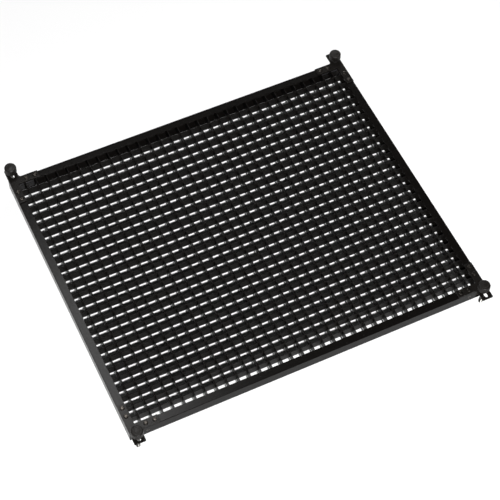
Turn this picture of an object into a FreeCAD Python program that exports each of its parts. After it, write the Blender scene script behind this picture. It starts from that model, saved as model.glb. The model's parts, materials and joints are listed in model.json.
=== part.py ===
"""Honeycomb grid for a soft panel lamp: an egg-crate of interlocking strips in a channel frame.

Millimetres.  +X runs along the long rails, +Y to the rear and +Z up, away from the lamp.
The origin is the centre of the footprint, at the level of the four stud tips on which the grid stands.
A corner is named by its place, such as front_left, and holds a bracket, an angle and a captive thumbscrew.
"""
import FreeCAD, Part
import math
import os

# Frame: four mitred U-channels, open towards the middle
FRAME_LENGTH = 371.0
FRAME_WIDTH = 307.0
RAIL_WIDTH = 8.0
RAIL_HEIGHT = 12.0
RAIL_WALL = 1.2

# Egg-crate core: strips on a square pitch, halved into each other
CELL_PITCH = 11.0
CROSS_STRIPS = 32
LONG_STRIPS = 26
STRIP_THICKNESS = 0.8
STRIP_CLEARANCE = 0.05
STRIP_END_SETBACK = 3.6

# Corner bracket: a flat L on top of the rails with a slotted lug standing out past the long rail
BRACKET_THICKNESS = 1.5
BRACKET_ARM = 30.5
LUG_WIDTH = 11.4
LUG_REACH = 12.2
LUG_CORNER_RADIUS = 1.0
LUG_ROOT_RADIUS = 2.5
SLOT_WIDTH = 3.4
SLOT_START = 0.5
SLOT_END = 10.2

# Bracket screws: two on each arm, at these distances from the outer corner
BRACKET_SCREW_PLACES = (17.5, 26.5)
BRACKET_SCREW_RADIUS = 1.25
BRACKET_HEAD_RADIUS = 2.2
BRACKET_HEAD_HEIGHT = 0.9

# Corner angle inside the channels, held by two flush side screws through each rail web
ANGLE_THICKNESS = 1.2
ANGLE_ARM = 24.0
ANGLE_HEIGHT = 9.2
SIDE_SCREW_PLACES = (9.0, 18.0)
SIDE_SCREW_RADIUS = 1.0
SIDE_SCREW_LENGTH = 2.8
SIDE_HEAD_RADIUS = 1.9
SIDE_HEAD_DEPTH = 0.9
SCREW_HOLE_CLEARANCE = 0.05
RECESS_WIDTH = 0.5
RECESS_DEPTH = 0.5

# Thumbscrew: knob moulded on a shouldered stud, kept in the lug's slot by a snap ring
STUD_LENGTH = 20.0
SHANK_RADIUS = 1.5
THREAD_RADIUS = 2.0
THREAD_LENGTH = 6.3
THREAD_CHAMFER = 0.6
INSERT_RADIUS = 2.6
INSERT_LENGTH = 4.0
KNOB_RADIUS = 6.0
KNOB_TOP_HEIGHT = 11.0
KNOB_DOME = 1.1
KNOB_EDGE = 0.9
KNOB_FOOT_CHAMFER = 0.4
KNOB_NECK_RADIUS = 3.0
KNOB_NECK_LENGTH = 3.0
KNOB_FLUTES = 20
FLUTE_RADIUS = 0.6
FLUTE_DEPTH = 0.4
WASHER_RADIUS = 3.6
WASHER_THICKNESS = 0.8
WASHER_CLEARANCE = 0.08
RING_RADIUS = 2.1
RING_THICKNESS = 0.8
RING_GAP_DEG = 60.0
GROOVE_RADIUS = 1.25
LIFT_TRAVEL = 6.5
LIFT_STOP_GAP = 0.1

# Distance of each thumbscrew's axis from the frame's outer face, along its slot
THUMBSCREW_PLACES = {"front_left": 4.8, "front_right": 2.4, "rear_left": 6.5, "rear_right": 2.4}
CORNER_SIGNS = {"front_left": (-1, -1), "front_right": (1, -1), "rear_left": (-1, 1), "rear_right": (1, 1)}

# Levels above the stud tips
BRACKET_TOP = STUD_LENGTH
RAIL_TOP = BRACKET_TOP - BRACKET_THICKNESS
RAIL_BOTTOM = RAIL_TOP - RAIL_HEIGHT
RAIL_MIDDLE = RAIL_BOTTOM + RAIL_HEIGHT / 2
CORE_HEIGHT = RAIL_HEIGHT - 2 * RAIL_WALL - 2 * STRIP_CLEARANCE
CORE_BOTTOM = RAIL_BOTTOM + RAIL_WALL + STRIP_CLEARANCE
WASHER_TOP = BRACKET_TOP + WASHER_THICKNESS
KNOB_TOP = BRACKET_TOP + KNOB_TOP_HEIGHT
HEAD_BOTTOM = WASHER_TOP + KNOB_NECK_LENGTH
INSERT_BOTTOM = HEAD_BOTTOM + 0.8
RING_TOP = RAIL_TOP - LIFT_TRAVEL - LIFT_STOP_GAP

UP = FreeCAD.Vector(0, 0, 1)


def vec(x, y, z=0.0):
    return FreeCAD.Vector(x, y, z)


def prism(points, direction):
    """Extrude the closed polygon through points."""
    return Part.Face(Part.makePolygon(points + points[:1])).extrude(direction)


def cylinder(radius, height, base, axis=UP):
    return Part.makeCylinder(radius, height, base, axis)


def revolved(profile, place):
    """Turn a closed (radius, height) profile about the vertical through place."""
    edges = [vec(radius, 0, height) for radius, height in profile]
    face = Part.Face(Part.makePolygon(edges + edges[:1]))
    solid = face.revolve(vec(0, 0), UP, 360)
    solid.translate(place)
    return solid


def export(node, solids):
    shape = solids[0] if len(solids) == 1 else Part.makeCompound(solids)
    shape.exportStep(os.path.join("parts", node + ".step"))


# ---------------------------------------------------------------- frame

def rail(length):
    """A mitred U-channel along X, with its web at y = 0, its mouth towards +y and its middle at x = 0."""
    section = [
        vec(-length / 2, 0, RAIL_BOTTOM),
        vec(-length / 2, RAIL_WIDTH, RAIL_BOTTOM),
        vec(-length / 2, RAIL_WIDTH, RAIL_BOTTOM + RAIL_WALL),
        vec(-length / 2, RAIL_WALL, RAIL_BOTTOM + RAIL_WALL),
        vec(-length / 2, RAIL_WALL, RAIL_TOP - RAIL_WALL),
        vec(-length / 2, RAIL_WIDTH, RAIL_TOP - RAIL_WALL),
        vec(-length / 2, RAIL_WIDTH, RAIL_TOP),
        vec(-length / 2, 0, RAIL_TOP),
    ]
    channel = prism(section, vec(length, 0))
    mitred_plan = [
        vec(-length / 2, 0, RAIL_BOTTOM),
        vec(length / 2, 0, RAIL_BOTTOM),
        vec(length / 2 - RAIL_WIDTH, RAIL_WIDTH, RAIL_BOTTOM),
        vec(-length / 2 + RAIL_WIDTH, RAIL_WIDTH, RAIL_BOTTOM),
    ]
    channel = channel.common(prism(mitred_plan, vec(0, 0, RAIL_HEIGHT)))
    for end in (-1, 1):
        for place in BRACKET_SCREW_PLACES:
            x = end * (length / 2 - place)
            hole_base = vec(x, RAIL_WIDTH / 2, RAIL_TOP - 2 * RAIL_WALL)
            hole = cylinder(BRACKET_SCREW_RADIUS + SCREW_HOLE_CLEARANCE, 3 * RAIL_WALL, hole_base)
            channel = channel.cut(hole)
        for place in SIDE_SCREW_PLACES:
            x = end * (length / 2 - place)
            channel = channel.cut(side_screw_hole(vec(x, 0, RAIL_MIDDLE)))
    return channel


def side_screw_hole(mouth):
    """A countersunk hole through a rail web, entered along +y."""
    gap = SCREW_HOLE_CLEARANCE
    bore = cylinder(SIDE_SCREW_RADIUS + gap, 2 * RAIL_WALL, mouth, vec(0, 1))
    sink = Part.makeCone(SIDE_HEAD_RADIUS + gap, SIDE_SCREW_RADIUS + gap, SIDE_HEAD_DEPTH, mouth, vec(0, 1))
    return bore.fuse(sink)


def placed_on_side(solid, side):
    """Move a piece made along the front rail to the named side of the frame."""
    placed = solid.copy()
    if side in ("left", "right"):
        placed.rotate(vec(0, 0), UP, -90 if side == "left" else 90)
        placed.translate(vec(-FRAME_LENGTH / 2 if side == "left" else FRAME_LENGTH / 2, 0))
    else:
        placed.rotate(vec(0, 0), UP, 0 if side == "front" else 180)
        placed.translate(vec(0, -FRAME_WIDTH / 2 if side == "front" else FRAME_WIDTH / 2))
    return placed


def make_rails():
    for side in ("front", "rear"):
        export("rail_" + side, [placed_on_side(rail(FRAME_LENGTH), side)])
    for side in ("left", "right"):
        export("rail_" + side, [placed_on_side(rail(FRAME_WIDTH), side)])


# ---------------------------------------------------------------- core

def comb_strip(length, crossings, notch_from_top):
    """A strip along X with a notch of half its height for every strip that crosses it."""
    middle = CORE_BOTTOM + CORE_HEIGHT / 2
    notch_half_width = STRIP_THICKNESS / 2 + STRIP_CLEARANCE
    if notch_from_top:
        plain_edge, notched_edge, notch_end = CORE_BOTTOM, CORE_BOTTOM + CORE_HEIGHT, middle - STRIP_CLEARANCE
    else:
        plain_edge, notched_edge, notch_end = CORE_BOTTOM + CORE_HEIGHT, CORE_BOTTOM, middle + STRIP_CLEARANCE
    side = -STRIP_THICKNESS / 2
    outline = [vec(length / 2, side, plain_edge), vec(-length / 2, side, plain_edge)]
    outline.append(vec(-length / 2, side, notched_edge))
    for index in range(crossings):
        x = (index - (crossings - 1) / 2) * CELL_PITCH
        outline.append(vec(x - notch_half_width, side, notched_edge))
        outline.append(vec(x - notch_half_width, side, notch_end))
        outline.append(vec(x + notch_half_width, side, notch_end))
        outline.append(vec(x + notch_half_width, side, notched_edge))
    outline.append(vec(length / 2, side, notched_edge))
    return prism(outline, vec(0, STRIP_THICKNESS))


def make_core():
    long_strip = comb_strip(FRAME_LENGTH - 2 * STRIP_END_SETBACK, CROSS_STRIPS, True)
    cross_strip = comb_strip(FRAME_WIDTH - 2 * STRIP_END_SETBACK, LONG_STRIPS, False)
    cross_strip.rotate(vec(0, 0), UP, 90)
    long_group = []
    for index in range(LONG_STRIPS):
        y = (index - (LONG_STRIPS - 1) / 2) * CELL_PITCH
        long_group.append(long_strip.translated(vec(0, y)))
    cross_group = []
    for index in range(CROSS_STRIPS):
        x = (index - (CROSS_STRIPS - 1) / 2) * CELL_PITCH
        cross_group.append(cross_strip.translated(vec(x, 0)))
    export("long_strips", long_group)
    export("cross_strips", cross_group)


# ---------------------------------------------------------------- corners

def at_corner(solid, corner):
    """Mirror a piece made at the rear right corner, with that corner at x = y = 0, into its own corner."""
    sign_x, sign_y = CORNER_SIGNS[corner]
    placed = solid.copy()
    if sign_x < 0:
        placed = placed.mirror(vec(0, 0), vec(1, 0))
    if sign_y < 0:
        placed = placed.mirror(vec(0, 0), vec(0, 1))
    placed.translate(vec(sign_x * FRAME_LENGTH / 2, sign_y * FRAME_WIDTH / 2))
    return placed


def bracket_screw_spots():
    """Plan positions of the four bracket screws, from the rear right outer corner."""
    spots = [vec(-place, -RAIL_WIDTH / 2) for place in BRACKET_SCREW_PLACES]
    return spots + [vec(-RAIL_WIDTH / 2, -place) for place in BRACKET_SCREW_PLACES]


def filleted_upright(solid, x, y, radius):
    """Round the upright edge of a plate that stands at x, y."""
    for edge in solid.Edges:
        ends = [vertex.Point for vertex in edge.Vertexes]
        if len(ends) == 2 and all(math.hypot(end.x - x, end.y - y) < 0.01 for end in ends):
            return solid.makeFillet(radius, [edge])
    raise ValueError("no upright edge at the given place")


def bracket():
    plan = [
        vec(0, LUG_REACH, RAIL_TOP),
        vec(0, -BRACKET_ARM, RAIL_TOP),
        vec(-RAIL_WIDTH, -BRACKET_ARM, RAIL_TOP),
        vec(-RAIL_WIDTH, -RAIL_WIDTH, RAIL_TOP),
        vec(-BRACKET_ARM, -RAIL_WIDTH, RAIL_TOP),
        vec(-BRACKET_ARM, 0, RAIL_TOP),
        vec(-LUG_WIDTH, 0, RAIL_TOP),
        vec(-LUG_WIDTH, LUG_REACH, RAIL_TOP),
    ]
    plate = prism(plan, vec(0, 0, BRACKET_THICKNESS))
    plate = filleted_upright(plate, 0, LUG_REACH, LUG_CORNER_RADIUS)
    plate = filleted_upright(plate, -LUG_WIDTH, LUG_REACH, LUG_CORNER_RADIUS)
    plate = filleted_upright(plate, -LUG_WIDTH, 0, LUG_ROOT_RADIUS)
    for spot in bracket_screw_spots():
        hole = cylinder(BRACKET_SCREW_RADIUS + SCREW_HOLE_CLEARANCE, 3 * BRACKET_THICKNESS, spot + UP * RAIL_BOTTOM)
        hole.translate(vec(0, 0, RAIL_HEIGHT - BRACKET_THICKNESS))
        plate = plate.cut(hole)
    return plate.cut(lug_slot())


def lug_slot():
    """The round-ended slot in the lug, running away from the frame."""
    x = -LUG_WIDTH / 2
    half = SLOT_WIDTH / 2
    ends = [vec(x, SLOT_START + half, RAIL_BOTTOM), vec(x, SLOT_END - half, RAIL_BOTTOM)]
    middle = Part.makeBox(SLOT_WIDTH, SLOT_END - SLOT_START - SLOT_WIDTH, 2 * RAIL_HEIGHT, ends[0] - vec(half, 0))
    round_ends = [cylinder(half, 2 * RAIL_HEIGHT, end) for end in ends]
    return middle.multiFuse(round_ends).removeSplitter()


def cross_recess(top):
    """The cross-shaped driver recess of a screw, cut down from the point top."""
    reach = BRACKET_HEAD_RADIUS * 0.6
    low = vec(0, 0, -RECESS_DEPTH)
    first = Part.makeBox(2 * reach, RECESS_WIDTH, 2 * RECESS_DEPTH, top + low - vec(reach, RECESS_WIDTH / 2))
    second = Part.makeBox(RECESS_WIDTH, 2 * reach, 2 * RECESS_DEPTH, top + low - vec(RECESS_WIDTH / 2, reach))
    return first.fuse(second)


def bracket_screw():
    """A low round-head screw with its axis at x = y = 0."""
    head_top = BRACKET_TOP + BRACKET_HEAD_HEIGHT
    rim = BRACKET_HEAD_RADIUS - 0.5
    head_profile = [
        (0, BRACKET_TOP),
        (BRACKET_HEAD_RADIUS, BRACKET_TOP),
        (BRACKET_HEAD_RADIUS, BRACKET_TOP + 0.4),
        (rim, head_top),
        (0, head_top),
    ]
    grip = BRACKET_THICKNESS + RAIL_WALL
    screw = revolved(head_profile, vec(0, 0))
    screw = screw.fuse(cylinder(BRACKET_SCREW_RADIUS, grip, vec(0, 0, BRACKET_TOP - grip)))
    return screw.removeSplitter().cut(cross_recess(vec(0, 0, head_top)))


def side_screw():
    """A countersunk screw that enters along +y from a flush head at the origin."""
    head = Part.makeCone(SIDE_HEAD_RADIUS, SIDE_SCREW_RADIUS, SIDE_HEAD_DEPTH, vec(0, 0), vec(0, 1))
    screw = head.fuse(cylinder(SIDE_SCREW_RADIUS, SIDE_SCREW_LENGTH, vec(0, 0), vec(0, 1)))
    recess = cross_recess(vec(0, 0))
    recess.rotate(vec(0, 0), vec(1, 0), 90)
    return screw.removeSplitter().cut(recess)


def side_screws():
    """The four side screws of the rear right corner, two through each web."""
    screw = side_screw()
    group = []
    for place in SIDE_SCREW_PLACES:
        through_rear = screw.copy()
        through_rear.rotate(vec(0, 0), UP, 180)
        through_rear.translate(vec(-place, 0, RAIL_MIDDLE))
        group.append(through_rear)
        through_right = screw.copy()
        through_right.rotate(vec(0, 0), UP, 90)
        through_right.translate(vec(0, -place, RAIL_MIDDLE))
        group.append(through_right)
    return group


def corner_angle():
    """The thin L inside the channels, against both webs, tapped for the side screws."""
    outer = -RAIL_WALL
    inner = outer - ANGLE_THICKNESS
    far = outer - ANGLE_ARM
    bottom = RAIL_MIDDLE - ANGLE_HEIGHT / 2
    plan = [
        vec(outer, outer, bottom),
        vec(far, outer, bottom),
        vec(far, inner, bottom),
        vec(inner, inner, bottom),
        vec(inner, far, bottom),
        vec(outer, far, bottom),
    ]
    angle = prism(plan, vec(0, 0, ANGLE_HEIGHT))
    for place in SIDE_SCREW_PLACES:
        radius = SIDE_SCREW_RADIUS + SCREW_HOLE_CLEARANCE
        angle = angle.cut(cylinder(radius, 2 * RAIL_WIDTH, vec(-place, -RAIL_WIDTH, RAIL_MIDDLE), vec(0, 1)))
        angle = angle.cut(cylinder(radius, 2 * RAIL_WIDTH, vec(-RAIL_WIDTH, -place, RAIL_MIDDLE), vec(1, 0)))
    return angle


# ---------------------------------------------------------------- thumbscrews

def knob():
    """A fluted knob with a domed top and a short neck, moulded round the head of its stud."""
    edge_z = KNOB_TOP - KNOB_DOME
    dome_rim = KNOB_RADIUS - KNOB_EDGE
    dome_rise = KNOB_DOME - KNOB_EDGE * 0.5
    dome_radius = (dome_rim ** 2 + dome_rise ** 2) / (2 * dome_rise)
    half_angle = math.asin(dome_rim / dome_radius) / 2
    dome_middle = vec(dome_radius * math.sin(half_angle), 0, KNOB_TOP - dome_radius * (1 - math.cos(half_angle)))
    rim = vec(dome_rim, 0, KNOB_TOP - dome_rise)
    shoulder = vec(KNOB_RADIUS, 0, edge_z)
    corners = [
        vec(0, 0, KNOB_TOP),
        vec(0, 0, WASHER_TOP),
        vec(KNOB_NECK_RADIUS, 0, WASHER_TOP),
        vec(KNOB_NECK_RADIUS, 0, HEAD_BOTTOM),
        vec(KNOB_RADIUS - KNOB_FOOT_CHAMFER, 0, HEAD_BOTTOM),
        vec(KNOB_RADIUS, 0, HEAD_BOTTOM + KNOB_FOOT_CHAMFER),
        shoulder,
        rim,
    ]
    outline = [Part.LineSegment(start, end).toShape() for start, end in zip(corners, corners[1:])]
    outline.append(Part.Arc(rim, dome_middle, corners[0]).toShape())
    body = Part.Face(Part.Wire(outline)).revolve(vec(0, 0), UP, 360)
    flute_centre = KNOB_RADIUS + FLUTE_RADIUS - FLUTE_DEPTH
    flutes = []
    for index in range(KNOB_FLUTES):
        angle = 2 * math.pi * index / KNOB_FLUTES
        foot = vec(flute_centre * math.cos(angle), flute_centre * math.sin(angle), WASHER_TOP)
        flutes.append(cylinder(FLUTE_RADIUS, KNOB_TOP_HEIGHT, foot))
    bore = cylinder(SHANK_RADIUS, INSERT_BOTTOM - WASHER_TOP + 0.1, vec(0, 0, WASHER_TOP - 0.1))
    pocket = cylinder(INSERT_RADIUS, INSERT_LENGTH, vec(0, 0, INSERT_BOTTOM))
    return body.cut(flutes + [bore, pocket])


def stud():
    """The steel stud: head inside the knob, relieved shank with a ring groove, threaded tip."""
    groove_bottom = RING_TOP - RING_THICKNESS
    profile = [
        (0, 0),
        (THREAD_RADIUS - THREAD_CHAMFER, 0),
        (THREAD_RADIUS, THREAD_CHAMFER),
        (THREAD_RADIUS, THREAD_LENGTH),
        (SHANK_RADIUS, THREAD_LENGTH),
        (SHANK_RADIUS, groove_bottom),
        (GROOVE_RADIUS, groove_bottom),
        (GROOVE_RADIUS, RING_TOP),
        (SHANK_RADIUS, RING_TOP),
        (SHANK_RADIUS, INSERT_BOTTOM),
        (INSERT_RADIUS, INSERT_BOTTOM),
        (INSERT_RADIUS, INSERT_BOTTOM + INSERT_LENGTH),
        (0, INSERT_BOTTOM + INSERT_LENGTH),
    ]
    return revolved(profile, vec(0, 0))


def washer():
    """The nylon washer between knob and lug, whose bore drags on the shank."""
    disc = cylinder(WASHER_RADIUS, WASHER_THICKNESS, vec(0, 0, BRACKET_TOP))
    return disc.cut(cylinder(SHANK_RADIUS + WASHER_CLEARANCE, 2 * RAIL_WIDTH, vec(0, 0, RAIL_TOP)))


def snap_ring():
    """The open ring in the stud's groove, under the lug."""
    bottom = vec(0, 0, RING_TOP - RING_THICKNESS)
    ring = cylinder(RING_RADIUS, RING_THICKNESS, bottom).cut(cylinder(GROOVE_RADIUS + 0.02, RING_THICKNESS, bottom))
    half_gap = math.radians(RING_GAP_DEG / 2)
    reach = 2 * RING_RADIUS
    mouth = [bottom, bottom + vec(reach * math.cos(half_gap), reach * math.sin(half_gap))]
    mouth.append(bottom + vec(reach * math.cos(half_gap), -reach * math.sin(half_gap)))
    return ring.cut(prism(mouth, vec(0, 0, RING_THICKNESS)))


def make_corners():
    pieces = {
        "corner_bracket": [bracket()],
        "corner_angle": [corner_angle()],
        "bracket_screws": [bracket_screw().translated(spot) for spot in bracket_screw_spots()],
        "side_screws": side_screws(),
    }
    thumbscrew = {"knob": knob(), "stud": stud(), "washer": washer(), "snap_ring": snap_ring()}
    for corner, place in THUMBSCREW_PLACES.items():
        for name, solids in pieces.items():
            export(name + "_" + corner, [at_corner(solid, corner) for solid in solids])
        for name, solid in thumbscrew.items():
            in_slot = solid.translated(vec(-LUG_WIDTH / 2, place))
            export(name + "_" + corner, [at_corner(in_slot, corner)])


os.makedirs("parts", exist_ok=True)
make_rails()
make_core()
make_corners()
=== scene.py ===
"""Looks for the honeycomb grid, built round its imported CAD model.

Shapes are worked out in millimetres and become metres when a mesh is made.  +X runs along the long rails,
+Y to the rear and +Z up, away from the lamp; the stud tips stand on the floor at z = 0.
"""
import json
import math

import bmesh
import bpy
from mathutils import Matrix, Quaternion, Vector

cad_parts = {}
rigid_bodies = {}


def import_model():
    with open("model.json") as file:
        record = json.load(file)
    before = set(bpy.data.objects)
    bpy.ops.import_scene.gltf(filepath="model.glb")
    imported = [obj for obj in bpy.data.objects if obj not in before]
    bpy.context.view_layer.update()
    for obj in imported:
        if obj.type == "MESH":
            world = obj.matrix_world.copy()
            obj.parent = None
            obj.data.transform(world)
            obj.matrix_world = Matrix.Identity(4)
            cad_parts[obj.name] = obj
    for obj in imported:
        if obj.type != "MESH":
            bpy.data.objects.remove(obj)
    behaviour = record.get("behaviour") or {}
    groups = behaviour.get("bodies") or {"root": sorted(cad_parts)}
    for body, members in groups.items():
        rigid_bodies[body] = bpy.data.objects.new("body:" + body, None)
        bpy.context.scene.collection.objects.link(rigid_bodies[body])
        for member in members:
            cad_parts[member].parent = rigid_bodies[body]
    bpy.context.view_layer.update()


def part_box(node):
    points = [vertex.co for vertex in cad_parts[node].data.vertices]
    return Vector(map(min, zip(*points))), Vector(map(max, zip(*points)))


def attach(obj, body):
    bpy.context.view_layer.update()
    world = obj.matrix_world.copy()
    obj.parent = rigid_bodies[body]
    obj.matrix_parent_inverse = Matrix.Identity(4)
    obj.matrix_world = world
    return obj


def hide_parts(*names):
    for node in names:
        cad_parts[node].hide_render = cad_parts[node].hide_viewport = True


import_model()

MM = 0.001
CORNER_SIGNS = {"front_left": (-1, -1), "front_right": (1, -1), "rear_left": (-1, 1), "rear_right": (1, 1)}


def box_mm(node):
    """Lowest and highest corner of a CAD node, in millimetres."""
    low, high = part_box(node)
    return low / MM, high / MM


# Frame sizes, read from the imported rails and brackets
HALF_LENGTH = box_mm("rail_right")[1].x
HALF_WIDTH = box_mm("rail_rear")[1].y
RAIL_BOTTOM = box_mm("rail_rear")[0].z
RAIL_TOP = box_mm("rail_rear")[1].z
RAIL_MIDDLE = (RAIL_BOTTOM + RAIL_TOP) / 2
RAIL_WIDTH = box_mm("rail_rear")[1].y - box_mm("rail_rear")[0].y
BRACKET_TOP = box_mm("corner_bracket_rear_right")[1].z
LUG_REACH = box_mm("corner_bracket_rear_right")[1].y - HALF_WIDTH
BRACKET_ARM = HALF_LENGTH - box_mm("corner_bracket_rear_right")[0].x
RAIL_WALL = 1.2
RAIL_EDGE = 0.45
RAIL_LIP = 0.3
SEAM_EDGE = 0.12

# Core
CROSS_STRIPS = 32
LONG_STRIPS = 26
STRIP_BOTTOM = box_mm("long_strips")[0].z
STRIP_TOP = box_mm("long_strips")[1].z
LONG_STRIP_HALF = box_mm("long_strips")[1].x
CROSS_STRIP_HALF = box_mm("cross_strips")[1].y
STRIP_THICKNESS = 0.8
CROSS_STRIPS_SPAN = box_mm("cross_strips")[1].x - box_mm("cross_strips")[0].x
CELL_PITCH = (CROSS_STRIPS_SPAN - STRIP_THICKNESS) / (CROSS_STRIPS - 1)
STRIP_EDGE = 0.14
NOTCH_CLEARANCE = 0.05

# Brackets and screws
LUG_WIDTH = 11.4
SLOT_WIDTH = 3.4
SLOT_START = 0.5
SLOT_END = 10.2
LUG_ROUND = 1.0
LUG_FILLET = 2.5
ARM_ROUND = 0.5
PLATE_EDGE = 0.25
BRACKET_SCREW_PLACES = (17.5, 26.5)
SIDE_SCREW_PLACES = (9.0, 18.0)
RECESS_HALF_WIDTH = 0.27
RECESS_REACH = 1.2
RECESS_DEPTH = 0.5
RECESS_TIP_ROUND = 0.1
RECESS_INNER_ROUND = 0.06
RECESS_HALF_TAPER = 0.05
RECESS_TAPER = 0.12
PLATE_SCREW_RADIUS = 1.25
PLATE_TIP_RADIUS = 1.0
PLATE_TIP_REACH = 0.3
PLATE_TIP_CHAMFER = 0.25
PLATE_HEAD_RADIUS = 2.2
PLATE_HEAD_ROUND = 0.55
PLATE_HEAD_SIDE = 0.3
PLATE_HEAD_FLAT = 1.45
SIDE_SCREW_RADIUS = 1.0
SIDE_TIP_RADIUS = 0.8
SIDE_SCREW_LENGTH = 2.8
SIDE_BORE_RADIUS = 1.05
SIDE_HEAD_RADIUS = 1.9
SIDE_SINK_RADIUS = 2.05
SIDE_HEAD_DEPTH = 0.9
CUTTER_OVERRUN = 0.5

# Thumbscrews
KNOB_FLUTES = 20
KNOB_NECK_RADIUS = 3.0
KNOB_NECK_LENGTH = 3.0
FLUTE_DEPTH = 0.42
FLUTE_SHARE = 0.6
KNOB_SHOULDER = 1.3
KNOB_DOME_RADIUS = 24.0
KNOB_FOOT_ROUND = 0.4
KNOB_FOOT_LAND = 0.9
KNOB_NECK_CHAMFER = 0.2
KNOB_NECK_FILLET = 0.5
DOME_SHARES = (0.97, 0.8, 0.74, 0.71, 0.5, 0.25)
DOME_GROOVE_SHARE = 0.74
DOME_GROOVE_DEPTH = 0.12
THREAD_RADIUS = 2.0
THREAD_LENGTH = 6.3
THREAD_PITCH = 0.7
THREAD_DEPTH = 0.4
SHANK_RADIUS = 1.5
GROOVE_RADIUS = 1.25
TIP_CHAMFER = 0.6
TIP_FACE_RADIUS = 1.3
GROOVE_SLACK = 0.02
WASHER_BORE_CLEARANCE = 0.08
WASHER_EDGE = 0.2
RING_EDGE = 0.15
RING_GAP_DEG = 60.0
RING_STEPS = 40
SEAT_GAP = 0.02

# Meshes and finishes; the wear radius is in metres
RIM_STEPS = 2
SHARP_CORNER_DEG = 32
WEAR_RADIUS = 0.0004
CLOUD_SCALE = 60.0
DUST_SCALE = 900.0
WEAR_SCALE = 350.0
DUST_RANGE = (0.70, 0.78)
WEAR_RANGE = (0.42, 0.68)
DUST_GAIN = 2.2
DUST_LIFT = 0.01

# The colour sockets of a Mix node, which share their names with its number and vector sockets
MIX_COLOUR_A = 6
MIX_COLOUR_B = 7
MIX_COLOUR_RESULT = 2


# ---------------------------------------------------------------- outlines and solids

def rounded(corners, steps):
    """Points round an outline of (x, y, radius) corners, with steps + 1 points on each round corner."""
    points = []
    for index, (x, y, radius) in enumerate(corners):
        here = Vector((x, y))
        if radius == 0:
            points.append(here)
            continue
        before = (Vector(corners[index - 1][:2]) - here).normalized()
        after = (Vector(corners[(index + 1) % len(corners)][:2]) - here).normalized()
        half_angle = before.angle(after) / 2
        centre = here + (before + after).normalized() * radius / math.sin(half_angle)
        start = here + before * radius / math.tan(half_angle) - centre
        turn = math.pi - 2 * half_angle
        if before.x * after.y - before.y * after.x > 0:
            turn = -turn
        for step in range(steps + 1):
            angle = turn * step / steps
            points.append(centre + Vector((
                start.x * math.cos(angle) - start.y * math.sin(angle),
                start.x * math.sin(angle) + start.y * math.cos(angle),
            )))
    return points


def inset(corners, distance):
    """The corners of a counter-clockwise outline moved inwards, or outwards if distance is negative."""
    moved = []
    for index, (x, y, radius) in enumerate(corners):
        here = Vector((x, y))
        before = (here - Vector(corners[index - 1][:2])).normalized()
        after = (Vector(corners[(index + 1) % len(corners)][:2]) - here).normalized()
        inward_before = Vector((-before.y, before.x))
        inward_after = Vector((-after.y, after.x))
        shift = (inward_before + inward_after) * distance / (1 + inward_before.dot(inward_after))
        convex = before.x * after.y - before.y * after.x > 0
        if radius > 0:
            radius = max(radius - distance if convex else radius + distance, 0.01)
        moved.append((x + shift.x, y + shift.y, radius))
    return moved


def rim_levels(low, high, edge):
    """(inset, height) pairs up a slab whose two rims are rounded."""
    foot = []
    for step in range(RIM_STEPS + 1):
        angle = math.radians(90 * step / RIM_STEPS)
        foot.append((edge * (1 - math.sin(angle)), low + edge * (1 - math.cos(angle))))
    return foot + [(distance, low + high - height) for distance, height in reversed(foot)]


def skin(bm, rings):
    """Faces between each ring of vertices and the next."""
    for lower, upper in zip(rings, rings[1:]):
        for index in range(len(lower)):
            following = (index + 1) % len(lower)
            bm.faces.new((lower[index], lower[following], upper[following], upper[index]))


def close_flat(bm, rings):
    """A flat cap over one ring, or between an outer ring and the holes inside it."""
    if len(rings) == 1:
        bm.faces.new(rings[0])
        return
    edges = []
    for ring in rings:
        for index, vertex in enumerate(ring):
            edges.append(bm.edges.get((vertex, ring[index - 1])))
    bmesh.ops.triangle_fill(bm, use_beauty=True, use_dissolve=False, edges=edges)


def slab(bm, outline, low, high, edge, place, holes=(), steps=3):
    """A plate with rounded rims from low to high; place turns (u, v, height) into a point."""
    caps = ([], [])
    for corners, sense in [(outline, 1)] + [(hole, -1) for hole in holes]:
        rings = []
        for distance, height in rim_levels(low, high, edge):
            points = rounded(inset(corners, sense * distance), steps)
            rings.append([bm.verts.new(place(u, v, height)) for u, v in points])
        skin(bm, rings)
        caps[0].append(rings[0])
        caps[1].append(rings[-1])
    for rings in caps:
        close_flat(bm, rings)


def lathe(bm, profile, place, segments, shape=None, closed=False):
    """Turns a (radius, height) profile; shape may change the radius with the angle and height."""
    rings = []
    for radius, height in profile:
        if radius == 0:
            rings.append([bm.verts.new(place(0, 0, height))])
            continue
        ring = []
        for segment in range(segments):
            angle = 2 * math.pi * segment / segments
            reach = shape(angle, radius, height) if shape else radius
            ring.append(bm.verts.new(place(reach * math.cos(angle), reach * math.sin(angle), height)))
        rings.append(ring)
    if closed:
        rings.append(rings[0])
    for lower, upper in zip(rings, rings[1:]):
        if len(lower) > 1 and len(upper) > 1:
            skin(bm, [lower, upper])
        else:
            pole, ring = (lower, upper) if len(lower) == 1 else (upper, lower)
            for index in range(len(ring)):
                bm.faces.new((pole[0], ring[index - 1], ring[index]))
    return rings


def arc(centre_r, centre_h, radius, start_deg, end_deg, steps):
    """Profile points on an arc, for lathe."""
    points = []
    for step in range(steps + 1):
        angle = math.radians(start_deg + (end_deg - start_deg) * step / steps)
        points.append((centre_r + radius * math.cos(angle), centre_h + radius * math.sin(angle)))
    return points


def shade(bm):
    """Outward normals, and smooth shading broken only at real corners."""
    bmesh.ops.recalc_face_normals(bm, faces=bm.faces)
    for edge in bm.edges:
        edge.smooth = edge.calc_face_angle(math.pi) < math.radians(SHARP_CORNER_DEG)
    for face in bm.faces:
        face.smooth = True


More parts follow.
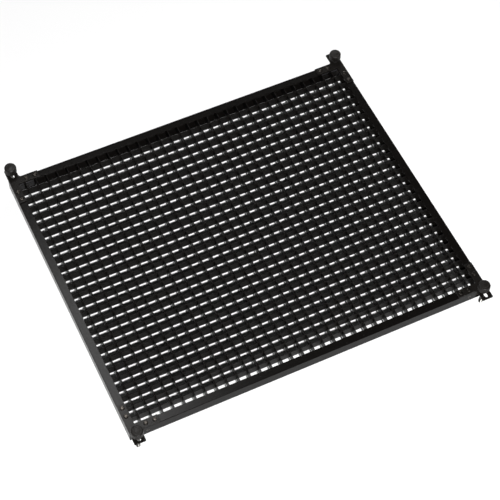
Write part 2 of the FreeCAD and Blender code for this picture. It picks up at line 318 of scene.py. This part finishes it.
def mesh_object(name, bm):
    """A scene object in metres from a mesh made in millimetres."""
    bmesh.ops.scale(bm, vec=(MM, MM, MM), verts=bm.verts)
    mesh = bpy.data.meshes.new(name)
    bm.to_mesh(mesh)
    bm.free()
    made = bpy.data.objects.new(name, mesh)
    bpy.context.scene.collection.objects.link(made)
    return made


def keep_flats_flat(piece):
    """Lets the large faces set the shading normals, so that flats reflect as flats between rounded edges."""
    modifier = piece.modifiers.new("true_flats", "WEIGHTED_NORMAL")
    modifier.keep_sharp = True


def add_piece(name, bm, material, body, node):
    """Puts a finished piece in the scene in place of its CAD node."""
    shade(bm)
    piece = mesh_object(name, bm)
    keep_flats_flat(piece)
    piece.data.materials.append(material)
    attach(piece, body)
    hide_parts(node)
    return piece


# ---------------------------------------------------------------- materials

def threshold(nodes, links, value, limits):
    """A colour that goes from black to white as the value passes from one limit to the other."""
    node = nodes.new("ShaderNodeValToRGB")
    for element, position, grey in zip(node.color_ramp.elements, limits, (0.0, 1.0)):
        element.position = position
        element.color = (grey, grey, grey, 1)
    links.new(value, node.inputs["Fac"])
    return node.outputs["Color"]


def noise(nodes, links, coordinates, scale, stretch=(1, 1, 1), detail=3.0):
    """Noise on object coordinates, stretched along the axes with small factors."""
    mapping = nodes.new("ShaderNodeMapping")
    mapping.inputs["Scale"].default_value = [scale * factor for factor in stretch]
    links.new(coordinates, mapping.inputs["Vector"])
    texture = nodes.new("ShaderNodeTexNoise")
    texture.inputs["Scale"].default_value = 1.0
    texture.inputs["Detail"].default_value = detail
    links.new(mapping.outputs["Vector"], texture.inputs["Vector"])
    return texture.outputs["Fac"]


def edge_mask(nodes, links):
    """Near 1 along the outer edges of a piece and 0 on its flats."""
    bevel = nodes.new("ShaderNodeBevel")
    bevel.samples = 4
    bevel.inputs["Radius"].default_value = WEAR_RADIUS
    geometry = nodes.new("ShaderNodeNewGeometry")
    likeness = nodes.new("ShaderNodeVectorMath")
    likeness.operation = "DOT_PRODUCT"
    links.new(bevel.outputs["Normal"], likeness.inputs[0])
    links.new(geometry.outputs["Normal"], likeness.inputs[1])
    spread = nodes.new("ShaderNodeMapRange")
    spread.inputs["From Min"].default_value = 0.995
    spread.inputs["From Max"].default_value = 0.90
    links.new(likeness.outputs["Value"], spread.inputs["Value"])
    return spread.outputs["Result"]


def mixed(nodes, links, amount, low, high):
    """A colour between low and high, each of which is a colour or a node's output."""
    node = nodes.new("ShaderNodeMix")
    node.data_type = "RGBA"
    links.new(amount, node.inputs["Factor"])
    for socket, colour in ((MIX_COLOUR_A, low), (MIX_COLOUR_B, high)):
        if isinstance(colour, tuple):
            node.inputs[socket].default_value = (*colour, 1)
        else:
            links.new(colour, node.inputs[socket])
    return node.outputs[MIX_COLOUR_RESULT]


def product(nodes, links, first, second):
    """Two values multiplied."""
    node = nodes.new("ShaderNodeMath")
    node.operation = "MULTIPLY"
    links.new(first, node.inputs[0])
    links.new(second, node.inputs[1])
    return node.outputs["Value"]


def surface(name, dark, light, worn, rough, grain, bump, metallic=0.0, stretch=(1, 1, 1), specular=0.15):
    """A finish with clouded colour, drawn or moulded grain, dust and lighter worn edges.

    The colour clouds between dark and light, the roughness runs over the pair in rough, and the grain's
    relief is bump millimetres high.
    """
    material = bpy.data.materials.new(name)
    material.use_nodes = True
    nodes, links = material.node_tree.nodes, material.node_tree.links
    shader = nodes["Principled BSDF"]
    shader.inputs["Metallic"].default_value = metallic
    shader.inputs["Specular IOR Level"].default_value = specular
    coordinates = nodes.new("ShaderNodeTexCoord").outputs["Object"]
    cloud = noise(nodes, links, coordinates, CLOUD_SCALE)
    fine = noise(nodes, links, coordinates, grain, stretch, detail=5.0)
    dust_noise = noise(nodes, links, coordinates, DUST_SCALE, detail=1.0)
    dust = threshold(nodes, links, dust_noise, DUST_RANGE)
    wear_noise = noise(nodes, links, coordinates, WEAR_SCALE)
    patches = threshold(nodes, links, wear_noise, WEAR_RANGE)
    wear = product(nodes, links, edge_mask(nodes, links), patches)
    colour = mixed(nodes, links, cloud, dark, light)
    colour = mixed(nodes, links, wear, colour, worn)
    dusty = tuple(channel * DUST_GAIN + DUST_LIFT for channel in light)
    colour = mixed(nodes, links, dust, colour, dusty)
    links.new(colour, shader.inputs["Base Color"])
    roughness = nodes.new("ShaderNodeMapRange")
    roughness.inputs["To Min"].default_value = rough[0]
    roughness.inputs["To Max"].default_value = rough[1]
    links.new(fine, roughness.inputs["Value"])
    links.new(roughness.outputs["Result"], shader.inputs["Roughness"])
    relief = nodes.new("ShaderNodeBump")
    relief.inputs["Strength"].default_value = 0.5
    relief.inputs["Distance"].default_value = bump * MM
    links.new(fine, relief.inputs["Height"])
    links.new(relief.outputs["Normal"], shader.inputs["Normal"])
    return material


ALONG_X = (0.02, 1, 1)
ALONG_Y = (1, 0.02, 1)
RAIL_LOOK = dict(
    dark=(0.0022, 0.0019, 0.0017), light=(0.0045, 0.0039, 0.0035), worn=(0.035, 0.032, 0.030),
    rough=(0.17, 0.26), grain=2200.0, bump=0.006, specular=0.07,
)
STRIP_LOOK = dict(
    dark=(0.0038, 0.0033, 0.0030), light=(0.0075, 0.0067, 0.0061), worn=(0.026, 0.023, 0.021),
    rough=(0.38, 0.52), grain=3000.0, bump=0.015, specular=0.12,
)
rail_x_finish = surface("rail_anodised_x", stretch=ALONG_X, **RAIL_LOOK)
rail_y_finish = surface("rail_anodised_y", stretch=ALONG_Y, **RAIL_LOOK)
strip_x_finish = surface("strip_matt_x", stretch=ALONG_X, **STRIP_LOOK)
strip_y_finish = surface("strip_matt_y", stretch=ALONG_Y, **STRIP_LOOK)
bracket_finish = surface(
    "bracket_powder_coat",
    dark=(0.0050, 0.0044, 0.0040), light=(0.0090, 0.0080, 0.0072), worn=(0.050, 0.046, 0.042),
    rough=(0.20, 0.30), grain=1500.0, bump=0.012, specular=0.07,
)
knob_finish = surface(
    "knob_moulded",
    dark=(0.0065, 0.0058, 0.0052), light=(0.0110, 0.0098, 0.0088), worn=(0.030, 0.027, 0.024),
    rough=(0.30, 0.44), grain=3500.0, bump=0.02,
)
screw_finish = surface(
    "screw_black_oxide",
    dark=(0.022, 0.020, 0.018), light=(0.045, 0.040, 0.036), worn=(0.22, 0.20, 0.18),
    rough=(0.26, 0.40), grain=5000.0, bump=0.01, metallic=1.0,
)
stud_finish = surface(
    "stud_plated_steel",
    dark=(0.10, 0.097, 0.092), light=(0.17, 0.165, 0.155), worn=(0.32, 0.31, 0.29),
    rough=(0.26, 0.40), grain=4000.0, bump=0.01, metallic=1.0, stretch=(1, 1, 6),
)
angle_finish = surface(
    "angle_zinc",
    dark=(0.32, 0.32, 0.33), light=(0.48, 0.48, 0.50), worn=(0.60, 0.60, 0.61),
    rough=(0.34, 0.52), grain=1200.0, bump=0.02, metallic=1.0,
)
spring_finish = surface(
    "ring_spring_steel",
    dark=(0.16, 0.15, 0.14), light=(0.26, 0.25, 0.23), worn=(0.45, 0.43, 0.40),
    rough=(0.26, 0.38), grain=5000.0, bump=0.01, metallic=1.0,
)
washer_finish = surface(
    "washer_nylon",
    dark=(0.0080, 0.0075, 0.0070), light=(0.0140, 0.0130, 0.0120), worn=(0.035, 0.033, 0.030),
    rough=(0.40, 0.55), grain=2500.0, bump=0.01,
)


# ---------------------------------------------------------------- rails

def on_side(side):
    """Turns (depth from the outer face, height, place along the rail) into a point, with mitred ends."""
    def place(depth, height, along):
        along = along + depth if along < 0 else along - depth
        if side == "front":
            return (along, -HALF_WIDTH + depth, height)
        if side == "rear":
            return (-along, HALF_WIDTH - depth, height)
        if side == "left":
            return (-HALF_LENGTH + depth, -along, height)
        return (HALF_LENGTH - depth, along, height)
    return place


def rail_section():
    """The channel's section, as (depth, height, corner radius), open towards the core."""
    lower = RAIL_BOTTOM + RAIL_WALL
    upper = RAIL_TOP - RAIL_WALL
    return [
        (0, RAIL_BOTTOM, RAIL_EDGE),
        (RAIL_WIDTH, RAIL_BOTTOM, RAIL_LIP),
        (RAIL_WIDTH, lower, RAIL_LIP),
        (RAIL_WALL, lower, RAIL_LIP),
        (RAIL_WALL, upper, RAIL_LIP),
        (RAIL_WIDTH, upper, RAIL_LIP),
        (RAIL_WIDTH, RAIL_TOP, RAIL_LIP),
        (0, RAIL_TOP, RAIL_EDGE),
    ]


def outward_from(side, along):
    """Places a side screw: (x, y, depth) round an axis that points out of the rail's web."""
    def place(x, y, depth):
        if side == "front":
            return (along + x, -HALF_WIDTH + depth, RAIL_MIDDLE + y)
        if side == "rear":
            return (along + x, HALF_WIDTH - depth, RAIL_MIDDLE + y)
        if side == "left":
            return (-HALF_LENGTH + depth, along + x, RAIL_MIDDLE + y)
        return (HALF_LENGTH - depth, along + x, RAIL_MIDDLE + y)
    return place


def cut(piece, cutter):
    """Removes the cutter's volume from the piece for good."""
    modifier = piece.modifiers.new("cut", "BOOLEAN")
    modifier.operation = "DIFFERENCE"
    modifier.solver = "EXACT"
    modifier.object = cutter
    depsgraph = bpy.context.evaluated_depsgraph_get()
    result = bpy.data.meshes.new_from_object(piece.evaluated_get(depsgraph))
    piece.modifiers.clear()
    piece.data = result
    bpy.data.objects.remove(cutter)


def add_rail(side, half, material):
    """A mitred channel with countersunk holes for its side screws."""
    bm = bmesh.new()
    slab(bm, rail_section(), -half, half, SEAM_EDGE, on_side(side), steps=4)
    shade(bm)
    rail = mesh_object(side + "_rail", bm)
    sinks = bmesh.new()
    bottom = 2 * RAIL_WALL
    sink_profile = [(0, bottom), (SIDE_BORE_RADIUS, bottom), (SIDE_BORE_RADIUS, SIDE_HEAD_DEPTH)]
    sink_profile += [(SIDE_SINK_RADIUS, 0.02), (SIDE_SINK_RADIUS, -CUTTER_OVERRUN), (0, -CUTTER_OVERRUN)]
    for end in (-1, 1):
        for place in SIDE_SCREW_PLACES:
            lathe(sinks, sink_profile, outward_from(side, end * (half - place)), segments=32)
    bmesh.ops.recalc_face_normals(sinks, faces=sinks.faces)
    cut(rail, mesh_object(side + "_sinks", sinks))
    keep_flats_flat(rail)
    rail.data.materials.clear()
    rail.data.materials.append(material)
    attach(rail, "frame")
    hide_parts("rail_" + side)


# ---------------------------------------------------------------- core

def comb_outline(half_length, crossings, notch_from_top):
    """The side view of a strip, as corners, with a notch for every strip that crosses it."""
    middle = (STRIP_BOTTOM + STRIP_TOP) / 2
    half_notch = STRIP_THICKNESS / 2 + NOTCH_CLEARANCE
    corners = []
    for index in range(crossings):
        x = (index - (crossings - 1) / 2) * CELL_PITCH
        corners += [(x - half_notch, -1), (x - half_notch, 0), (x + half_notch, 0), (x + half_notch, -1)]
    corners = [(-half_length, -1)] + corners + [(half_length, -1), (half_length, 1), (-half_length, 1)]
    outline = []
    for x, level in corners:
        rise = level * (STRIP_TOP - STRIP_BOTTOM) / 2
        if level == 0:
            rise = NOTCH_CLEARANCE
        outline.append((x, middle - rise if notch_from_top else middle + rise, 0))
    return outline[::-1] if notch_from_top else outline


def add_strips(name, count, half_length, crossings, notch_from_top, turned, material, node):
    """One layer of the core: strips along X, or along Y if turned."""
    bm = bmesh.new()
    outline = comb_outline(half_length, crossings, notch_from_top)
    for index in range(count):
        across = (index - (count - 1) / 2) * CELL_PITCH

        def place(along, height, side, across=across):
            return (across + side, along, height) if turned else (along, across + side, height)

        slab(bm, outline, -STRIP_THICKNESS / 2, STRIP_THICKNESS / 2, STRIP_EDGE, place)
    add_piece(name, bm, material, "frame", node)


# ---------------------------------------------------------------- corners

def at_corner(corner):
    """Turns a point measured from the rear right outer corner into the same point of the named corner."""
    sign_x, sign_y = CORNER_SIGNS[corner]

    def place(x, y, z):
        return (sign_x * (HALF_LENGTH + x), sign_y * (HALF_WIDTH + y), z)
    return place


def add_bracket(corner):
    """The flat plate over a corner, with its slotted lug."""
    outline = [
        (-LUG_WIDTH, LUG_REACH, LUG_ROUND),
        (-LUG_WIDTH, 0, LUG_FILLET),
        (-BRACKET_ARM, 0, ARM_ROUND),
        (-BRACKET_ARM, -RAIL_WIDTH, ARM_ROUND),
        (-RAIL_WIDTH, -RAIL_WIDTH, ARM_ROUND),
        (-RAIL_WIDTH, -BRACKET_ARM, ARM_ROUND),
        (0, -BRACKET_ARM, ARM_ROUND),
        (0, LUG_REACH, LUG_ROUND),
    ]
    half_slot = SLOT_WIDTH / 2
    middle = -LUG_WIDTH / 2
    end_round = half_slot - 0.01
    slot = [
        (middle - half_slot, SLOT_START, end_round),
        (middle + half_slot, SLOT_START, end_round),
        (middle + half_slot, SLOT_END, end_round),
        (middle - half_slot, SLOT_END, end_round),
    ]
    bm = bmesh.new()
    slab(bm, outline, RAIL_TOP, BRACKET_TOP, PLATE_EDGE, at_corner(corner), holes=[slot], steps=6)
    add_piece(corner + "_bracket", bm, bracket_finish, "frame", "corner_bracket_" + corner)


def cross_corners(turn_deg):
    """A plus-shaped outline for a driver recess, turned about its middle."""
    reach, half = RECESS_REACH, RECESS_HALF_WIDTH
    quarter = [(reach, -half, RECESS_TIP_ROUND), (reach, half, RECESS_TIP_ROUND)]
    quarter.append((half, half, RECESS_INNER_ROUND))
    corners = []
    for turn in range(4):
        angle = math.radians(90 * turn + turn_deg)
        for x, y, radius in quarter:
            turned = (x * math.cos(angle) - y * math.sin(angle), x * math.sin(angle) + y * math.cos(angle))
            corners.append((*turned, radius))
    return corners


def cross_head(bm, profile, top, floor, place, turn_deg):
    """A turned screw whose open top rim is closed round a cross recess that narrows to its floor."""
    rings = lathe(bm, profile, place, segments=36)
    levels = ((0, top), (RECESS_HALF_TAPER, (top + floor) / 2), (RECESS_TAPER, floor))
    walls = []
    for distance, height in levels:
        points = rounded(inset(cross_corners(turn_deg), distance), 2)
        walls.append([bm.verts.new(place(x, y, height)) for x, y in points])
    skin(bm, walls)
    bm.faces.new(walls[-1])
    close_flat(bm, [rings[-1], walls[0]])


def add_bracket_screws(corner):
    """Four low-headed screws, two down into each rail, that stopped at different turns."""
    spots = [(-place, -RAIL_WIDTH / 2) for place in BRACKET_SCREW_PLACES]
    spots += [(-RAIL_WIDTH / 2, -place) for place in BRACKET_SCREW_PLACES]
    low, high = box_mm("bracket_screws_" + corner)
    head_top = high.z
    tip = low.z - PLATE_TIP_REACH
    side_top = BRACKET_TOP + PLATE_HEAD_SIDE
    profile = [(0, tip), (PLATE_TIP_RADIUS, tip)]
    profile += [(PLATE_SCREW_RADIUS, tip + PLATE_TIP_CHAMFER), (PLATE_SCREW_RADIUS, BRACKET_TOP)]
    profile += [(PLATE_HEAD_RADIUS - 0.05, BRACKET_TOP), (PLATE_HEAD_RADIUS, BRACKET_TOP + 0.06)]
    profile.append((PLATE_HEAD_RADIUS, side_top))
    profile += arc(PLATE_HEAD_RADIUS - PLATE_HEAD_ROUND, side_top, PLATE_HEAD_ROUND, 15, 75, 4)
    profile += [(PLATE_HEAD_FLAT + 0.1, head_top - 0.01), (PLATE_HEAD_FLAT, head_top)]
    bm = bmesh.new()
    to_corner = at_corner(corner)
    for index, (x, y) in enumerate(spots):
        def place(u, v, height, x=x, y=y):
            return to_corner(x + u, y + v, height)

        cross_head(bm, profile, head_top, head_top - RECESS_DEPTH, place, 20 + 31 * index)
    add_piece(corner + "_plate_screws", bm, screw_finish, "frame", "bracket_screws_" + corner)


def add_side_screws(corner):
    """Four countersunk screws, two through each rail's web into the corner angle."""
    sign_x, sign_y = CORNER_SIGNS[corner]
    end_x = "right" if sign_x > 0 else "left"
    end_y = "rear" if sign_y > 0 else "front"
    profile = [(0, SIDE_SCREW_LENGTH), (SIDE_TIP_RADIUS, SIDE_SCREW_LENGTH)]
    profile += [(SIDE_SCREW_RADIUS, SIDE_SCREW_LENGTH - 0.2), (SIDE_SCREW_RADIUS, SIDE_HEAD_DEPTH)]
    profile += [(SIDE_HEAD_RADIUS - 0.06, 0.1), (SIDE_HEAD_RADIUS - 0.04, 0.05), (SIDE_HEAD_RADIUS - 0.12, 0)]
    bm = bmesh.new()
    for index, from_corner in enumerate(SIDE_SCREW_PLACES):
        long_place = outward_from(end_y, sign_x * (HALF_LENGTH - from_corner))
        short_place = outward_from(end_x, sign_y * (HALF_WIDTH - from_corner))
        cross_head(bm, profile, 0, RECESS_DEPTH, long_place, 12 + 40 * index)
        cross_head(bm, profile, 0, RECESS_DEPTH, short_place, 50 + 25 * index)
    add_piece(corner + "_web_screws", bm, screw_finish, "frame", "side_screws_" + corner)


def add_angle(corner):
    """The zinc angle inside the channels."""
    low, high = box_mm("corner_angle_" + corner)
    thickness = 1.2
    near = -RAIL_WALL
    far = near - (high.x - low.x)
    outline = [
        (near, near, 1.0),
        (far, near, 0.4),
        (far, near - thickness, 0.4),
        (near - thickness, near - thickness, 0.5),
        (near - thickness, far, 0.4),
        (near, far, 0.4),
    ]
    bm = bmesh.new()
    slab(bm, outline, low.z, high.z, 0.2, at_corner(corner), steps=4)
    add_piece(corner + "_angle", bm, angle_finish, "frame", "corner_angle_" + corner)


# ---------------------------------------------------------------- thumbscrews

def upright_at(node):
    """Places a turned piece on the vertical axis of a CAD node."""
    low, high = box_mm(node)
    x = (low.x + high.x) / 2
    y = (low.y + high.y) / 2
    return lambda u, v, height: (x + u, y + v, height)


def fluted(base, top, radius):
    """A radius rule that presses shallow round flutes into the side of a knob between two heights."""
    def rule(angle, reach, height):
        phase = (angle * KNOB_FLUTES / (2 * math.pi) + 0.5) % 1 - 0.5
        across = min(abs(phase) / (FLUTE_SHARE / 2), 1)
        hollow = FLUTE_DEPTH * math.sqrt(1 - across ** 2)
        limit = radius - hollow
        if height < base or height > top:
            return reach
        return min(reach, limit)
    return rule


def dome_drop(reach):
    """How far the knob's dome has dropped at this distance from its axis."""
    return KNOB_DOME_RADIUS - math.sqrt(KNOB_DOME_RADIUS ** 2 - reach ** 2)


def add_knob(corner):
    """A fluted head with a low dome and a ring groove, on a short neck."""
    node = "knob_" + corner
    low, high = box_mm(node)
    radius = (high.y - low.y) / 2
    rim = radius - KNOB_SHOULDER
    side_top = high.z - dome_drop(rim) - KNOB_SHOULDER
    head_low = low.z + KNOB_NECK_LENGTH
    profile = [(0, low.z), (KNOB_NECK_RADIUS - KNOB_NECK_CHAMFER, low.z)]
    profile.append((KNOB_NECK_RADIUS, low.z + KNOB_NECK_CHAMFER))
    fillet = KNOB_NECK_FILLET
    profile += arc(KNOB_NECK_RADIUS + fillet, head_low - fillet, fillet, 180, 90, 4)
    profile.append((radius - KNOB_FOOT_LAND, head_low))
    profile += arc(radius - KNOB_FOOT_ROUND, head_low + KNOB_FOOT_ROUND, KNOB_FOOT_ROUND, -90, 0, 3)
    profile += [(radius, head_low + share * (side_top - head_low)) for share in (0.3, 0.5, 0.7, 0.9)]
    profile += arc(rim, side_top, KNOB_SHOULDER, 0, 80, 7)
    for share in DOME_SHARES:
        groove = DOME_GROOVE_DEPTH if share == DOME_GROOVE_SHARE else 0.0
        profile.append((rim * share, high.z - dome_drop(rim * share) - groove))
    profile.append((0, high.z))
    bm = bmesh.new()
    rule = fluted(head_low + 0.01, high.z - 0.9, radius)
    lathe(bm, profile, upright_at(node), segments=KNOB_FLUTES * 10, shape=rule)
    add_piece(corner + "_knob", bm, knob_finish, "thumbscrew_" + corner, node)


def threaded(angle, radius, height):
    """A radius rule for a right-hand thread on the tip of the stud."""
    if height <= 0 or height >= THREAD_LENGTH - 0.3:
        return radius
    phase = (height / THREAD_PITCH - angle / (2 * math.pi)) % 1
    ridge = 1 - abs(2 * phase - 1)
    crest = min(max(ridge * 1.35 - 0.15, 0), 1)
    return min(radius, THREAD_RADIUS - THREAD_DEPTH * (1 - crest))


def add_stud(corner):
    """A threaded tip, a relieved shank with the snap ring's groove, and an end hidden in the knob."""
    node = "stud_" + corner
    top = box_mm(node)[1].z
    ring_low, ring_high = box_mm("snap_ring_" + corner)
    hidden_end = top - 1
    steps = 8
    profile = [(0, 0), (TIP_FACE_RADIUS, 0)]
    levels = int(THREAD_LENGTH / THREAD_PITCH * steps)
    for level in range(1, levels):
        height = level * THREAD_PITCH / steps
        profile.append((min(THREAD_RADIUS, THREAD_RADIUS - TIP_CHAMFER + height), height))
    profile += [(1.9, THREAD_LENGTH), (SHANK_RADIUS, THREAD_LENGTH + 0.25), (SHANK_RADIUS, ring_low.z - 0.05)]
    profile += [(GROOVE_RADIUS, ring_low.z - GROOVE_SLACK), (GROOVE_RADIUS, ring_high.z + GROOVE_SLACK)]
    profile += [(SHANK_RADIUS, ring_high.z + 0.05), (SHANK_RADIUS, hidden_end), (0, hidden_end)]
    bm = bmesh.new()
    lathe(bm, profile, upright_at(node), segments=40, shape=threaded)
    add_piece(corner + "_stud", bm, stud_finish, "thumbscrew_" + corner, node)


def add_washer(corner):
    """A nylon washer, a hair clear of the lug under it and of the knob on it."""
    node = "washer_" + corner
    low, high = box_mm(node)
    outer = (high.x - low.x) / 2
    bore = SHANK_RADIUS + WASHER_BORE_CLEARANCE
    edge = WASHER_EDGE
    lower = low.z + edge + SEAT_GAP
    upper = high.z - edge - SEAT_GAP
    profile = arc(outer - edge, lower, edge, -90, 0, 3)
    profile += arc(outer - edge, upper, edge, 0, 90, 3)
    profile += arc(bore + edge, upper, edge, 90, 180, 3)
    profile += arc(bore + edge, lower, edge, 180, 270, 3)
    bm = bmesh.new()
    lathe(bm, profile, upright_at(node), segments=64, closed=True)
    add_piece(corner + "_washer", bm, washer_finish, "washer_" + corner + "_slide", node)


def add_snap_ring(corner):
    """An open spring ring with its gap turned the same way as on the CAD ring."""
    node = "snap_ring_" + corner
    low, high = box_mm(node)
    outer = (high.y - low.y) / 2
    inner = GROOVE_RADIUS + GROOVE_SLACK
    sign_x = CORNER_SIGNS[corner][0]
    x = low.x + outer if sign_x > 0 else high.x - outer
    y = (low.y + high.y) / 2
    rings = []
    bm = bmesh.new()
    for distance, height in rim_levels(low.z, high.z, RING_EDGE):
        points = []
        for reach, direction in ((outer - distance, 1), (inner + distance, -1)):
            half_gap = math.radians(RING_GAP_DEG / 2) + distance / reach
            sweep = 2 * (math.pi - half_gap)
            for step in range(RING_STEPS + 1):
                share = step / RING_STEPS if direction > 0 else 1 - step / RING_STEPS
                angle = half_gap + sweep * share
                points.append((x + sign_x * reach * math.cos(angle), y + reach * math.sin(angle)))
        rings.append([bm.verts.new((u, v, height)) for u, v in points])
    skin(bm, rings)
    close_flat(bm, [rings[0]])
    close_flat(bm, [rings[-1]])
    add_piece(corner + "_ring", bm, spring_finish, "snap_ring_" + corner + "_lift", node)


# ---------------------------------------------------------------- studio

def add_floor():
    """A plain pale floor at z = 0."""
    bm = bmesh.new()
    bmesh.ops.create_grid(bm, x_segments=8, y_segments=8, size=6.0)
    mesh = bpy.data.meshes.new("floor")
    bm.to_mesh(mesh)
    bm.free()
    floor = bpy.data.objects.new("floor", mesh)
    bpy.context.scene.collection.objects.link(floor)
    material = bpy.data.materials.new("floor_paper")
    material.use_nodes = True
    shader = material.node_tree.nodes["Principled BSDF"]
    shader.inputs["Base Color"].default_value = (0.86, 0.86, 0.86, 1)
    shader.inputs["Roughness"].default_value = 0.9
    shader.inputs["Specular IOR Level"].default_value = 0.1
    floor.data.materials.append(material)


def add_world(horizon, zenith, band_top, band_bottom):
    """A studio that is bright round the horizon and dim overhead."""
    world = bpy.data.worlds.new("studio")
    world.use_nodes = True
    nodes, links = world.node_tree.nodes, world.node_tree.links
    direction = nodes.new("ShaderNodeTexCoord").outputs["Generated"]
    split = nodes.new("ShaderNodeSeparateXYZ")
    links.new(direction, split.inputs["Vector"])
    level = nodes.new("ShaderNodeMapRange")
    level.interpolation_type = "SMOOTHSTEP"
    level.inputs["From Min"].default_value = math.sin(math.radians(band_bottom))
    level.inputs["From Max"].default_value = math.sin(math.radians(band_top))
    level.inputs["To Min"].default_value = horizon
    level.inputs["To Max"].default_value = zenith
    links.new(split.outputs["Z"], level.inputs["Value"])
    links.new(level.outputs["Result"], nodes["Background"].inputs["Strength"])
    nodes["Background"].inputs["Color"].default_value = (1, 1, 1, 1)
    bpy.context.scene.world = world


def add_area_light(name, place, size, power):
    """A rectangular lamp that points at the origin; returns its object."""
    light = bpy.data.lights.new(name, "AREA")
    light.shape = "RECTANGLE"
    light.size, light.size_y = size
    light.energy = power
    lamp = bpy.data.objects.new(name, light)
    lamp.location = place
    lamp.rotation_mode = "QUATERNION"
    lamp.rotation_quaternion = (-Vector(place)).to_track_quat("-Z", "Y")
    bpy.context.scene.collection.objects.link(lamp)
    return lamp


def group_of(name, endings):
    """A collection of the pieces whose names end with one of the endings."""
    group = bpy.data.collections.new(name)
    for piece in bpy.context.scene.objects:
        if piece.type == "MESH" and piece.name.endswith(endings):
            group.objects.link(piece)
    return group


def add_camera():
    """The photograph's viewpoint: from the front left, well above, tipped a little."""
    azimuth, elevation = math.radians(-27.05), math.radians(57.21)
    roll = math.radians(1.95)
    distance = 1.5455
    aim = Vector((0.0009, -0.0142, STRIP_BOTTOM * MM))
    back = Vector((
        math.sin(azimuth) * math.cos(elevation),
        -math.cos(azimuth) * math.cos(elevation),
        math.sin(elevation),
    ))
    data = bpy.data.cameras.new("camera")
    data.sensor_width = 36.0
    data.lens = 113.9
    data.clip_start = 0.05
    data.clip_end = 50
    camera = bpy.data.objects.new("camera", data)
    camera.location = aim + back * distance
    camera.rotation_mode = "QUATERNION"
    camera.rotation_quaternion = (-back).to_track_quat("-Z", "Y") @ Quaternion((0, 0, 1), roll)
    bpy.context.scene.collection.objects.link(camera)
    bpy.context.scene.camera = camera


add_rail("front", HALF_LENGTH, rail_x_finish)
add_rail("rear", HALF_LENGTH, rail_x_finish)
add_rail("left", HALF_WIDTH, rail_y_finish)
add_rail("right", HALF_WIDTH, rail_y_finish)
add_strips(
    "long_slats", LONG_STRIPS, LONG_STRIP_HALF, crossings=CROSS_STRIPS, notch_from_top=True, turned=False,
    material=strip_x_finish, node="long_strips",
)
add_strips(
    "cross_slats", CROSS_STRIPS, CROSS_STRIP_HALF, crossings=LONG_STRIPS, notch_from_top=False, turned=True,
    material=strip_y_finish, node="cross_strips",
)
for corner in CORNER_SIGNS:
    add_bracket(corner)
    add_bracket_screws(corner)
    add_side_screws(corner)
    add_angle(corner)
    add_knob(corner)
    add_stud(corner)
    add_washer(corner)
    add_snap_ring(corner)

add_floor()
add_world(horizon=0.35, zenith=0.0, band_top=25, band_bottom=10)
# Only the core stops the key's light, so that the floor shows no shadow of the frame from the front
key = add_area_light("key", place=(-0.25, -2.6, 3.4), size=(0.16, 0.2), power=275)
key.light_linking.blocker_collection = group_of("core_pieces", ("_slats",))
gloss = add_area_light("gloss", place=(0.05, 0.7, 1.6), size=(0.25, 0.6), power=9)
glossy_endings = ("_rail", "_bracket", "_plate_screws", "_knob")
gloss.light_linking.receiver_collection = group_of("glossy_pieces", glossy_endings)
add_area_light("back_right", place=(1.0, 1.9, 1.6), size=(0.3, 0.3), power=8)
add_camera()
bpy.context.scene.view_settings.view_transform = "Standard"
